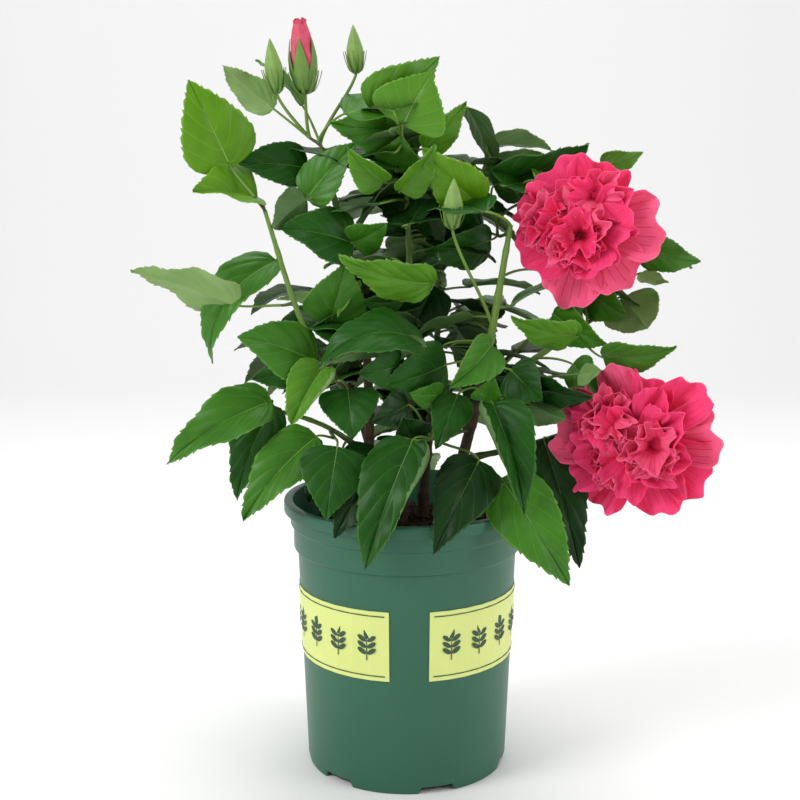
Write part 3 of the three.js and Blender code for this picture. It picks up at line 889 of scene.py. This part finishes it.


# The deep leaves, low in the middle under the crown, have a tone that is partly painted shade.
# kind, base (x, z, forward), tip (x, z, forward), width, turn, bow, fold
LEADING = [
    ("bright", (-122, 430, 12), (-150, 490, 22), 52, 5, 0.03, 8),
    ("bright", (-104, 409, 10), (-149, 415, 34), 60, 58, 0.04, 32),
    ("fresh", (-92, 470, 2), (-127, 499, 6), 26, 205, 0.04, 10),
    ("fresh", (-72, 472, -4), (-102, 505, -8), 24, 70, 0.05, 20),
    ("dark", (-69, 430, -10), (-119, 434, 8), 34, 20, 0.05, 16),
    ("mid", (-70, 409, 6), (-36, 448, 14), 36, -28, 0.04, 18),
    ("dark", (-70, 408, 14), (-95, 388, 34), 30, 150, 0.05, 15),
    ("dark", (-38, 378, 16), (-87, 390, 34), 46, 30, 0.06, 18),
    ("mid", (-38, 378, 18), (-14, 391, 30), 30, 30, 0.05, 15),
    ("fresh", (-120, 334, 30), (-194, 361, 44), 52, 122, 0.02, 14),
    ("mid", (-92, 366, 2), (-142, 293, 10), 40, 38, 0.26, 22),
    ("mid", (-64, 294, 34), (-119, 314, 50), 48, 30, 0.06, 12),
    ("dark", (-60, 286, 10), (-110, 283, 24), 38, 30, 0.05, 15),
    ("fresh", (-59, 290, 46), (-84, 249, 62), 40, 18, 0.08, 34),
    ("mid", (-97, 266, 26), (-175, 221, 44), 42, 28, 0.10, 22),
    ("dark", (-95, 262, 8), (-124, 192, 20), 42, 30, 0.10, 20),
    ("mid", (-65, 240, 40), (-120, 178, 58), 44, 28, 0.10, 26),
    ("dark", (-50, 232, 62), (-59, 178, 84), 48, 2, 0.05, 8),
    ("deep", (-18, 230, 48), (-53, 164, 86), 46, 10, 0.06, 14),
    ("dark", (4, 237, 66), (-32, 141, 100), 50, 12, 0.08, 14),
    ("deep", (-50, 222, 22), (-72, 190, 14), 34, 20, 0.05, 14),
    ("deep", (4, 236, 44), (-2, 252, 70), 34, 10, 0.05, 10),
    ("deep", (52, 222, 60), (19, 152, 98), 44, 6, 0.06, 12),
    ("mid", (68, 209, 56), (120, 128, 84), 48, -8, 0.08, 16),
    ("dark", (61, 264, 50), (87, 183, 84), 46, -18, 0.09, 34),
    ("deep", (98, 238, 14), (127, 141, 44), 42, -12, 0.06, 14),
    ("dark", (88, 264, 30), (114, 251, 48), 28, 150, 0.05, 15),
    ("deep", (84, 270, 24), (133, 267, 40), 24, 60, 0.05, 12),
    ("deep", (94, 277, 30), (133, 268, 52), 26, 40, 0.10, 20),
    ("mid", (118, 292, 16), (137, 271, 34), 28, 20, 0.06, 12),
    ("dark", (74, 288, 26), (96, 266, 46), 34, 10, 0.06, 14),
    ("mid", (54, 266, 44), (62, 284, 56), 22, 20, 0.06, 20),
    ("mid", (60, 306, 44), (31, 275, 62), 36, -20, 0.09, 34),
    ("fresh", (119, 312, 30), (73, 326, 46), 34, -46, 0.08, 12),
    ("mid", (103, 328, 12), (141, 304, 30), 34, 40, 0.06, 12),
    ("mid", (139, 297, 26), (191, 302, 46), 32, 42, 0.06, 16),
    ("mid", (122, 285, 34), (139, 287, 46), 20, 140, 0.04, 10),
    ("mid", (162, 378, -6), (206, 364, 4), 32, 32, 0.10, 14),
    ("fresh", (164, 357, -4), (184, 349, 8), 22, 120, 0.04, 10),
    ("mid", (152, 340, -8), (171, 316, 18), 44, 172, 0.05, 12),
    ("mid", (126, 345, -10), (154, 326, 8), 36, 30, 0.05, 12),
    ("fresh", (134, 432, -24), (164, 439, -20), 26, 44, 0.05, 12),
    ("dark", (60, 418, -8), (127, 443, 8), 44, 42, 0.06, 16),
    ("bright", (50, 404, 22), (9, 443, 34), 38, -18, 0.05, 12),
    ("fresh", (-3, 459, 36), (16, 495, 42), 54, -6, 0.05, 10),
    ("fresh", (-26, 470, 22), (23, 504, 26), 40, 12, 0.14, 14),
    ("mid", (0, 454, 12), (-54, 460, 26), 36, -20, 0.06, 16),
    ("fresh", (-16, 420, 22), (-42, 442, 34), 30, -30, 0.06, 34),
    ("fresh", (-5, 414, 22), (20, 445, 34), 28, 34, 0.06, 34),
    ("mid", (-8, 428, 8), (-4, 452, 26), 34, 0, 0.05, 16),
    ("fresh", (12, 443, 12), (41, 475, 20), 26, 30, 0.05, 16),
    ("dark", (52, 386, -18), (2, 390, -8), 38, -34, 0.07, 14),
    ("dark", (58, 380, -10), (12, 370, 10), 36, -34, 0.08, 14),
    ("fresh", (18, 349, 34), (-49, 369, 54), 36, -36, 0.10, 10),
    ("deep", (18, 348, -4), (-2, 300, 10), 38, 10, 0.06, 12),
    ("mid", (-54, 322, 18), (-43, 365, 30), 46, 10, 0.04, 12),
    ("fresh", (-33, 350, 14), (-50, 326, 26), 12, 60, 0.04, 12),
    ("dark", (12, 308, 46), (-65, 293, 64), 42, 42, 0.26, 14),
    ("dark", (13, 305, 56), (-65, 291, 73), 18, 150, 0.15, 6),
    ("dark", (-4, 337, 18), (-30, 336, 36), 26, -30, 0.06, 12),
    ("dark", (-2, 292, 48), (-34, 285, 66), 30, -20, 0.07, 12),
    ("dark", (28, 292, 34), (-16, 276, 60), 44, -22, 0.08, 12),
    ("mid", (24, 270, 42), (2, 271, 60), 22, -30, 0.06, 10),
    ("deep", (1, 263, 52), (-24, 250, 72), 28, -10, 0.07, 12),
    ("dark", (-42, 274, 48), (-39, 239, 70), 42, 0, 0.08, 14),
    ("dark", (36, 270, 40), (21, 231, 64), 30, 0, 0.08, 14),
]
ROLLED = {(4, 237): -0.46, (61, 264): 0.34, (-59, 290): -0.3}  # share of one half that rolls over, by base
order = sorted(LEADING, key=lambda row: abs(row[1][0]) + row[1][1] / 3)
for kind, (bx, bz, bf), (tx, tz, tf), width, turn, bow, fold in order:
    base, tip = in_view(bx, bz, bf), in_view(tx, tz, tf)
    grow_leaf(kind, base, tip, facing(base, tip, turn), width * MM, bow=bow, fold=fold,
              curl=rng.uniform(0.1, 0.3), wave=rng.uniform(0.01, 0.028), hook=rng.uniform(0.02, 0.1),
              teeth=0.012 if kind in ("bright", "fresh") else 0.010, roll=ROLLED.get((bx, bz), 0.0))
print(f"{len(LEADING)} leading leaves, {len(wood['at'])} points of wood")

# %% [markdown]
# ## The rest of the leaves
# Behind the leading leaves every mass is filled by a rule. Points are drawn on the skin of the mass's
# solid, from a fixed seed, and each becomes a leaf's tip. Its base lies inwards and a little higher, so
# leaves splay out and hang as they do on the shrub, and its face looks up and away from the middle.

# %% Fill each mass
def fill_mass(node, count, seed, keep, kinds):
    dice = np.random.default_rng(seed)
    spots = np.array([tuple(v.co) for v in nodes[node].data.vertices])
    middle = spots.mean(0)
    placed = []
    for spot in spots[dice.permutation(len(spots))]:
        if len(placed) >= count:
            break
        if not keep(spot) or any(np.linalg.norm(spot - other) < LEAF_SPACING for other in placed):
            continue
        placed.append(spot)
        out = unit(spot - middle * [1, 1, 0.98])
        axis_out = unit(np.array([spot[0], spot[1], 0]) + dice.normal(0, 6 * MM, 3) * [1, 1, 0])
        length = dice.uniform(50, 78) * MM
        ahead = unit(0.9 * axis_out + 0.5 * out + [0, 0, dice.uniform(-0.75, 0.1)])
        tip = middle + (spot - middle) * 0.97
        base = tip - ahead * length
        up = unit(np.array([0, 0, 1.0]) + 0.7 * axis_out + dice.normal(0, 0.25, 3))
        kind = kinds[dice.integers(len(kinds))]
        grow_leaf(kind, base, tip, up, length * dice.uniform(0.52, 0.68), bow=dice.uniform(0.03, 0.12),
                  fold=dice.uniform(6, 24), curl=dice.uniform(0.1, 0.3), wave=dice.uniform(0.008, 0.02),
                  hook=dice.uniform(0.02, 0.12), dice=dice)
    return len(placed)


def anywhere(spot):
    return True


def rear(spot):
    return spot[1] > -4 * MM


FILL_SEED = 200
# Masses inside and behind the bush get mostly deep leaves, a tone that is partly painted shade.
FILL = {
    "leaves_back_top": (18, anywhere, ("dark", "mid", "dark")),
    "leaves_back_left": (15, anywhere, ("dark", "mid", "deep")),
    "leaves_back_right": (15, anywhere, ("dark", "mid", "deep")),
    "leaves_back_low": (14, anywhere, ("dark", "mid", "deep")),
    "leaves_top": (4, rear, ("mid", "dark")),
    "leaves_top_left": (5, rear, ("deep", "dark")),
    "leaves_mid_left": (7, rear, ("deep", "dark")),
    "leaves_middle": (10, rear, ("deep", "deep", "dark")),
    "leaves_low_middle": (10, rear, ("deep", "deep", "dark")),
    "leaves_low_right": (8, rear, ("deep", "dark")),
    "leaves_upper_right": (7, rear, ("deep", "dark")),
    "leaves_high_right": (2, rear, ("dark", "mid")),
    "leaves_behind_bloom": (3, rear, ("dark", "mid")),
    "leaves_right_wing": (2, rear, ("mid", "fresh")),
    "leaves_right": (3, rear, ("dark", "mid")),
}
filled = sum(fill_mass(node, count, FILL_SEED + i, keep, kinds)
             for i, (node, (count, keep, kinds)) in enumerate(FILL.items()))
print(f"{filled} leaves by rule")

# %% Join the leaves by kind, and hide the leaf masses they replace
masses = [name for name in nodes if name.startswith("leaves_")]
for i, (kind, pile) in enumerate(leaf_piles.items()):
    piece = pile.to_object(f"leaves_{kind}", leaf_finishes[kind])
    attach(piece, "root")
    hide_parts(*masses[i::len(leaf_piles)])
for name, pile, skin in (("leaf_stalks", stalk_pile, GREEN_STALK), ("twigs", twig_pile, GREEN_BARK)):
    piece = pile.to_object(name, [skin])
    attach(piece, "root")

# %% [markdown]
# ## How a bloom is made
# A double hibiscus has a skirt of broad outer petals and a crowded heart of smaller crumpled ones, often
# in two or three tufts. Every petal is a fan: narrow and crimson at its claw, widening to a frilled and
# paler rim, with fine dark veins running out through it. As with a leaf, the mesh is laid out as the
# petal is, with a thin column for each vein and rows that change colour from throat to rim.

# %% The petal's pattern of rows and columns
PETAL_VEINS = 9
reach = np.append(np.linspace(0, 0.985, 18) ** 0.9, 1.0)
spread = [-1.0]
for k in range(PETAL_VEINS):
    middle = -1 + (2 * k + 1) / PETAL_VEINS
    spread += [middle - 0.012, middle + 0.012, middle + 0.5 / PETAL_VEINS, middle + 1 / PETAL_VEINS]
PETAL_ACROSS = np.array(spread)
middles = (reach[:-1] + reach[1:]) / 2
PETAL_SLOTS = np.full((len(reach) - 1, len(PETAL_ACROSS) - 1), 3)
PETAL_SLOTS[middles < 0.10] = 0
PETAL_SLOTS[(middles >= 0.10) & (middles < 0.20)] = 1
PETAL_SLOTS[(middles >= 0.20) & (middles < 0.34)] = 2
PETAL_SLOTS[-1] = 4
for k in range(PETAL_VEINS):
    PETAL_SLOTS[(middles > 0.1) & (middles < 0.9), 4 * k + 1] = 2


def add_petal(pile, centre, axis, angle, tilt, length, width, cup, frill, dice, tone, start=0.0, slot=None):
    """tilt is how far the petal stands up from the bloom's plane, and frill how much its rim waves."""
    axis = unit(np.asarray(axis, float))
    level = unit(np.cross(axis, [0.13, 0.2, 1.0]))
    other = np.cross(axis, level)
    out = level * math.cos(angle) + other * math.sin(angle)
    side = np.cross(axis, out)
    rise = math.radians(tilt)
    s, t = reach[:, None], PETAL_ACROSS[None, :]
    rim = (1 + 0.05 * np.sin(3 * t + dice.uniform(0, 6)) + 0.035 * np.sin(9 * t + dice.uniform(0, 6))
           - 0.1 * t ** 4)
    along = s * length * rim
    half = width / 2 * np.clip(0.12 + 1.02 * s ** 0.85 - 0.18 * s ** 6, 0, 1)
    fan = t * 0.9
    across = half * np.sin(fan * 1.2) / math.sin(1.08)
    along = along * (1 - 0.10 * t ** 2)
    waves = dice.uniform(1.2, 2.1)
    wave = (frill * s ** 1.8 * np.sin(waves * math.pi * t + dice.uniform(0, 6))
            + 0.38 * frill * s ** 3 * np.sin(2.4 * waves * math.pi * t + dice.uniform(0, 6))
            + 0.14 * frill * s ** 5 * np.sin(5 * waves * math.pi * t + dice.uniform(0, 6))
            + 0.3 * frill * s ** 1.5 * np.sin(5 * s + 2 * t + dice.uniform(0, 6)))
    bend = cup * s ** 2 * length
    up = along * math.sin(rise) + bend * math.cos(rise) + wave * math.cos(rise)
    far = along * math.cos(rise) - bend * math.sin(rise) - wave * math.sin(rise)
    curve = 0.22 * width * t ** 2 * s
    up, far = up + curve * math.cos(rise), far - curve * math.sin(rise)
    grid = centre + out * (far + start)[..., None] + side * across[..., None] + axis * up[..., None]
    slots = PETAL_SLOTS + tone * 5 if slot is None else np.full_like(PETAL_SLOTS, slot)
    add_sheet(pile, grid[:, ::-1], 0.3 * MM, slots[:, ::-1], 3 + tone * 5 if slot is None else slot)


# %% Pinks: two sets of tones, each from crimson throat to pale rim
PETAL_TONES = [
    [("throat_deep", "930a34", "7c082c"), ("pink_deep", "c81650", "b8144a"),
     ("pink_strong", "ea3068", "e02b62"), ("pink_main", "fa4480", "f23c76"),
     ("pink_rim", "fb5b8c", "f74f84")],
    [("throat_soft", "a0123c", "8a1034"), ("pink_warm", "d02056", "c21c50"),
     ("pink_clear", "e23c70", "d83668"), ("pink_light", "f8628e", "f25884"),
     ("pink_pale", "f9789a", "f56c92")],
]
petal_finishes = [
    finish(name, one, two, scale=90, sharpness=0.3, roughness=0.6, grain_scale=800, grain_depth=0.25,
           sheen=0.05, light_through=0.15, mirror=0.25)
    for tones in PETAL_TONES for name, one, two in tones
]


# %% Build both blooms in the room their solids hold
def build_bloom(node, axis, seed, skirt, tufts):
    """skirt lists the outer petals as (turn from the right, length, width, tone)."""
    low, high = (np.array(corner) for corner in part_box(node))
    centre, radius = (low + high) / 2, (high[2] - low[2]) / 2
    axis = unit(np.array(axis, float))
    heart = centre - axis * 0.3 * radius
    dice = np.random.default_rng(seed)
    pile = Pile()
    for turn, length, width, tone in skirt:
        add_petal(pile, heart, axis, math.radians(turn + 180), dice.uniform(8, 16), radius * length,
                  radius * width, dice.uniform(-0.08, 0.02), radius * 0.08, dice, tone)
        add_petal(pile, heart, axis, math.radians(turn + 204), dice.uniform(28, 40), radius * length * 0.78,
                  radius * width * 0.8, dice.uniform(-0.12, 0.02), radius * 0.09, dice, 0)
    for across, up, count, size in tufts:
        level = unit(np.cross(axis, [0, 0, 1.0]))
        spot = heart + level * across * radius + np.array([0, 0, 1.0]) * up * radius + axis * 0.12 * radius
        for k in range(count):
            angle = 2 * math.pi * (k + dice.uniform(-0.2, 0.2)) / count * 1.4
            tilt = 40 + 34 * (k / count) + dice.uniform(-8, 8)
            add_petal(pile, spot, axis, angle, tilt, radius * size * dice.uniform(0.85, 1.1),
                      radius * size * dice.uniform(0.95, 1.25), dice.uniform(-0.35, 0.0),
                      radius * 0.085, dice, int(dice.integers(2)), start=0.03 * radius)
    piece = pile.to_object(f"{node}_petals", petal_finishes)
    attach(piece, "root")
    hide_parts(node)
    return heart, axis, radius


flowers = [
    build_bloom("bloom_upper", (-0.22, -0.95, 0.12), 31,
                ((6, 0.98, 0.95, 1), (84, 0.9, 0.85, 0), (124, 0.96, 0.9, 0), (172, 0.94, 0.9, 0),
                 (216, 0.92, 0.8, 0), (262, 1.0, 0.85, 1), (312, 0.88, 0.85, 1)),
                ((0.1, -0.1, 10, 0.5), (0.5, 0.1, 8, 0.4), (-0.1, 0.4, 7, 0.4))),
    build_bloom("bloom_lower", (-0.30, -0.93, 0.04), 57,
                ((170, 1.06, 1.0, 1), (122, 0.98, 0.85, 1), (84, 0.86, 0.7, 0), (47, 1.1, 0.66, 0),
                 (15, 1.02, 0.85, 1), (-22, 0.98, 0.8, 0), (-58, 0.94, 0.75, 0), (-120, 1.0, 0.7, 0),
                 (-152, 0.92, 0.75, 0)),
                ((-0.2, -0.02, 10, 0.48), (0.36, 0.3, 9, 0.44), (0.25, -0.3, 7, 0.38))),
]

# %% [markdown]
# ## Buds and flower stalks
# A bud is a ribbed green calyx cupped in a ring of narrow bracts. On the oldest bud the petals have
# pushed out, still twisted round each other like a furled umbrella. Each stands on a long thin stalk that
# grows from the wood.

# %% Finishes for buds
CALYX = finish("calyx_green", "6f9440", "5c8334", scale=120, grain_depth=0.25, stretch=0.4)
BUD_TIP = finish("bud_tip", "84a850", "6f9641", scale=120, grain_depth=0.2, stretch=0.4)
FURLED = finish("furled_petals", "d9506a", "c93a56", scale=260, sharpness=0.2, grain_scale=500,
                grain_depth=0.5, stretch=0.3, sheen=0.1)


def ribbed_body(pile, foot, way, length, radius, profile, ribs, depth, twist, slot, sides=40, rings=26):
    """A pointed closed body with ribs that may wind round it. profile is its radius from foot to point."""
    t = np.linspace(0.0, 1, rings)
    width = np.interp(t, *zip(*profile)) * radius
    angles = np.linspace(0, 2 * math.pi, sides, endpoint=False)
    line = foot + np.outer(t * length, way)
    wound = angles[None, :] + twist * t[:, None] * 2 * math.pi
    bumps = 1 + depth * np.cos(ribs * wound) * np.sin(math.pi * t)[:, None]
    add_stalk(pile, line, np.maximum(width, 0.05 * MM), sides=sides, slot=slot, bumps=bumps)


def round_way(way, angle):
    level = unit(np.cross(way, [0.1, 1.0, 0.2]))
    return level * np.cos(angle)[..., None] + np.cross(way, level) * np.sin(angle)[..., None]


def add_sepal(pile, foot, way, angle, length, radius, profile, tip, slot):
    """A pointed lobe that lies on the body: tip says how far up it reaches."""
    s, u = np.linspace(0.04, 1, 12)[:, None], np.linspace(-1, 1, 7)[None, :]
    taper = np.clip((1 - s) / 0.6, 0.02, 1) ** 0.8
    out = round_way(way, angle + u * math.radians(37) * taper)
    far = np.interp(s * tip, *zip(*profile)) * radius * 1.05 + 0.3 * MM + 0 * u
    grid = foot + way * (length * tip * s + 0 * u)[..., None] + out * far[..., None]
    add_sheet(pile, grid[:, ::-1], 0.4 * MM, slot, slot)


def add_finger(pile, foot, way, angle, height, radius, width, slot):
    """A narrow bract that leaves the foot, bellies out past the body and points up."""
    s, u = np.linspace(0, 1, 9)[:, None], np.array([-1, 0, 1.0])[None, :]
    out = round_way(way, angle + 0 * s * u)
    side = np.cross(way, out)
    far = radius * (0.25 + 1.25 * s ** 0.42) + 0 * u
    grid = (foot + way * (height * s + 0 * u)[..., None] + out * far[..., None]
            + side * (width / 2 * (1 - 0.75 * s) * u)[..., None])
    add_sheet(pile, grid[:, ::-1], 0.4 * MM, slot, slot)


# %% Build the buds where their solids stand
BUD_BODY = [(0, 0.2), (0.1, 0.62), (0.3, 0.98), (0.5, 0.96), (0.75, 0.6), (0.92, 0.25), (1, 0.04)]
CALYX_CUP = [(0, 0.25), (0.12, 0.75), (0.4, 1.02), (0.75, 0.98), (1, 0.9)]
FURL = [(0, 0.2), (0.1, 0.62), (0.3, 0.94), (0.5, 0.96), (0.72, 0.8), (0.88, 0.62), (0.96, 0.5), (1, 0.2)]
BUD_WAYS = {"bud_opening": (-3, -3, 50), "bud_left": (-4, -2, 36), "bud_top": (-2, -1, 32),
            "bud_right": (1, -2, 34)}
ROOTS = {"bud_right": in_view(54, 318, 20)}  # this stalk grows from well below its bud
roots = {}
for i, (node, way) in enumerate(BUD_WAYS.items()):
    low, high = (np.array(corner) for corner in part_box(node))
    way = unit(np.array(way, float))
    length = (high[2] - low[2]) / way[2]
    middle = (low + high) / 2
    foot = middle - way * length / 2
    radius = (high[0] - low[0]) / 2 * 0.93
    pile = Pile()
    open_bud = node == "bud_opening"
    if open_bud:
        ribbed_body(pile, foot, way, 0.96 * length, radius * 0.94, FURL, 5, 0.10, 0.3, 2)
        for k in range(5):
            angle = 2 * math.pi * (k + 0.25) / 5
            add_sepal(pile, foot, way, angle, 0.96 * length, radius * 0.94, FURL, 0.76, 0)
            angle = 2 * math.pi * (k + 0.6) / 5
            add_petal(pile, foot + way * 0.74 * length, way, angle, 78, 0.25 * length, radius * 0.95, 0.0,
                      radius * 0.14, np.random.default_rng(80 + k), 0, slot=2)
    else:
        ribbed_body(pile, foot, way, length, radius * 0.9, BUD_BODY, 5, 0.12, 0.06, 1)
    for k in range(8):
        add_finger(pile, foot, way, 2 * math.pi * k / 8, (0.3 if open_bud else 0.46) * length, radius * 0.86,
                   2.4 * MM, 0)
    piece = pile.to_object(f"{node}_made", [CALYX, BUD_TIP, FURLED])
    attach(piece, "root")
    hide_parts(node)
    flowers.append((foot, -way, 0))
    roots[len(flowers) - 1] = ROOTS.get(node)

# %% Stalks for buds and blooms
flower_stalks = Pile()
for k, (foot, axis, radius) in enumerate(flowers):
    back = foot - axis * 0.16 * radius if radius else foot
    drop = np.array([0, 0, -1.0]) if not radius else unit(-axis + np.array([-0.2, 0, -0.5]))
    root = roots.get(k)
    i = nearest_wood(back + drop * 30 * MM if root is None else root)
    start, way = wood["at"][i], wood["way"][i]
    distance = np.linalg.norm(back - start)
    gap = unit(back - start)
    line = bezier(start, start + unit(way + 2 * gap) * 0.25 * distance,
                  back + unit(drop - gap) * 0.25 * distance, back, 22)
    add_stalk(flower_stalks, line, np.linspace(1.3, 1.0, 22) * MM, sides=9)
    if radius:
        ribbed_body(flower_stalks, back - axis * 5 * MM, axis, 20 * MM, 7 * MM, CALYX_CUP, 5, 0.08, 0, 0)
piece = flower_stalks.to_object("flower_stalks", [GREEN_STALK])
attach(piece, "root")

# %% [markdown]
# ## Floor, light and camera
# The plant stands on a pale sweep, a floor that curves up into a wall, so no line cuts the view behind
# it. Three broad soft lights give the even light of a studio: a large one from the left and front, a fill
# from the right and one overhead from behind, which makes the edges of the leaves shine.

# %% The sweep
def sweep_floor():
    pile = Pile()
    bend = np.linspace(0, math.pi / 2, 16)
    y = np.concatenate([[-3.0, -1.0, 1.2], 1.6 + 0.8 * np.sin(bend), [2.4, 2.4]])
    z = np.concatenate([[0, 0, 0], 0.8 - 0.8 * np.cos(bend), [1.6, 3.4]])
    x = np.linspace(-4, 4, 3)
    grid = np.stack([np.broadcast_to(x[None, :], (len(y), 3)), np.broadcast_to(y[:, None], (len(y), 3)),
                     np.broadcast_to(z[:, None], (len(y), 3)) - 0.0002], -1)
    index = np.arange(len(y) * 3).reshape(-1, 3)
    quads = np.stack([index[:-1, :-1], index[:-1, 1:], index[1:, 1:], index[1:, :-1]], -1)
    pile.add(grid, quads, 0)
    paper = bpy.data.materials.new("sweep_paper")
    paper.use_nodes = True
    shader = paper.node_tree.nodes["Principled BSDF"]
    shader.inputs["Base Color"].default_value = (0.93, 0.93, 0.93, 1)
    shader.inputs["Roughness"].default_value = 0.95
    return pile.to_object("sweep", [paper])


sweep_floor()

# %% Lights
def soft_light(name, at, size, power, target=(0, 0, 0.28)):
    data = bpy.data.lights.new(name, "AREA")
    data.shape, data.size, data.energy = "DISK", size, power
    lamp = link_object(name, data)
    lamp.location = at
    lamp.rotation_euler = (Vector(target) - Vector(at)).to_track_quat("-Z", "Y").to_euler()


soft_light("key", (-1.9, -1.1, 1.5), 1.3, 34)
soft_light("fill", (2.1, -0.9, 0.9), 1.4, 18)
soft_light("overhead", (0.2, 0.5, 2.1), 1.4, 20)
world = bpy.data.worlds.new("studio")
bpy.context.scene.world = world
world.use_nodes = True
world.node_tree.nodes["Background"].inputs["Color"].default_value = (1, 1, 1, 1)
world.node_tree.nodes["Background"].inputs["Strength"].default_value = 0.5
bpy.context.scene.view_settings.view_transform = "Standard"

# %% Camera
LENS, LOOK_DOWN = 64.1, 10.24  # millimetres, and degrees below level
camera_data = bpy.data.cameras.new("camera")
camera_data.lens = LENS
camera = link_object("camera", camera_data)
camera.location = EYE
camera.rotation_euler = (math.radians(90 - LOOK_DOWN), 0, 0)
bpy.context.scene.camera = camera
